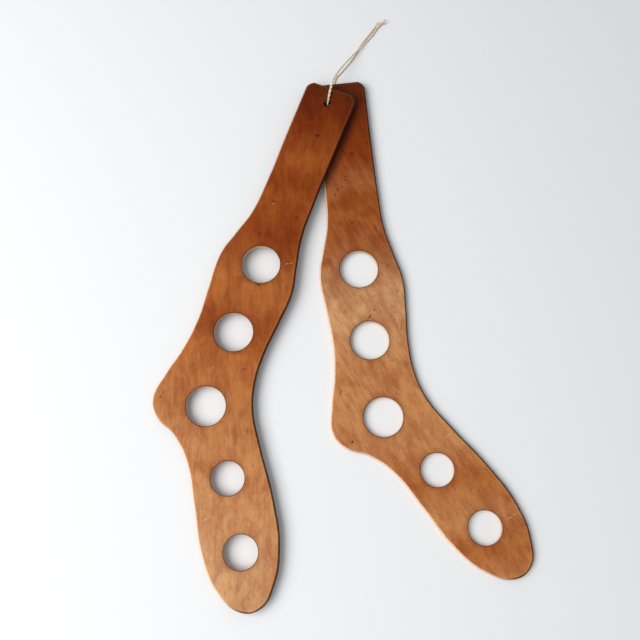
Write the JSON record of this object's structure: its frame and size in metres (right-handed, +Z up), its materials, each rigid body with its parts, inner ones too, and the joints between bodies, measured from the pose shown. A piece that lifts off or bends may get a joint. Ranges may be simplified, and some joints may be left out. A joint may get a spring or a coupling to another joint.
{
  "type": "sock stretcher",
  "caption": "Flat stocking-shaped wooden stretcher boards with round vent holes, swinging on a loop of twine that ties them at the neck.",
  "frame": {"origin": "on the surface that the pair lies on, under the middle of the two boards", "axes": "+Z up out of the surface, +Y along the boards towards the necks and the twine, +X towards the rear board's toe"},
  "size_m": [0.3974, 0.6783, 0.0206],
  "materials": {
    "rear_wood": "aged, hand-worn maple, satin",
    "front_wood": "aged, hand-worn maple, satin",
    "twine": "two-ply natural twine, matt"
  },
  "bodies": {
    "rear": {"rear_stretcher": "rear_wood", "hanging_twine": "twine", "twine_knot": "twine"},
    "front": {"front_stretcher": "front_wood"}
  },
  "joints": [
    {"name": "front_swing", "type": "hinge", "parent": "rear", "child": "front", "pos_m": [-0.01129, 0.26318, 0.01102], "axis": [-0.0176, -0.0077, 0.9998], "range_deg": [-62.9, 27.1]}
  ]
}
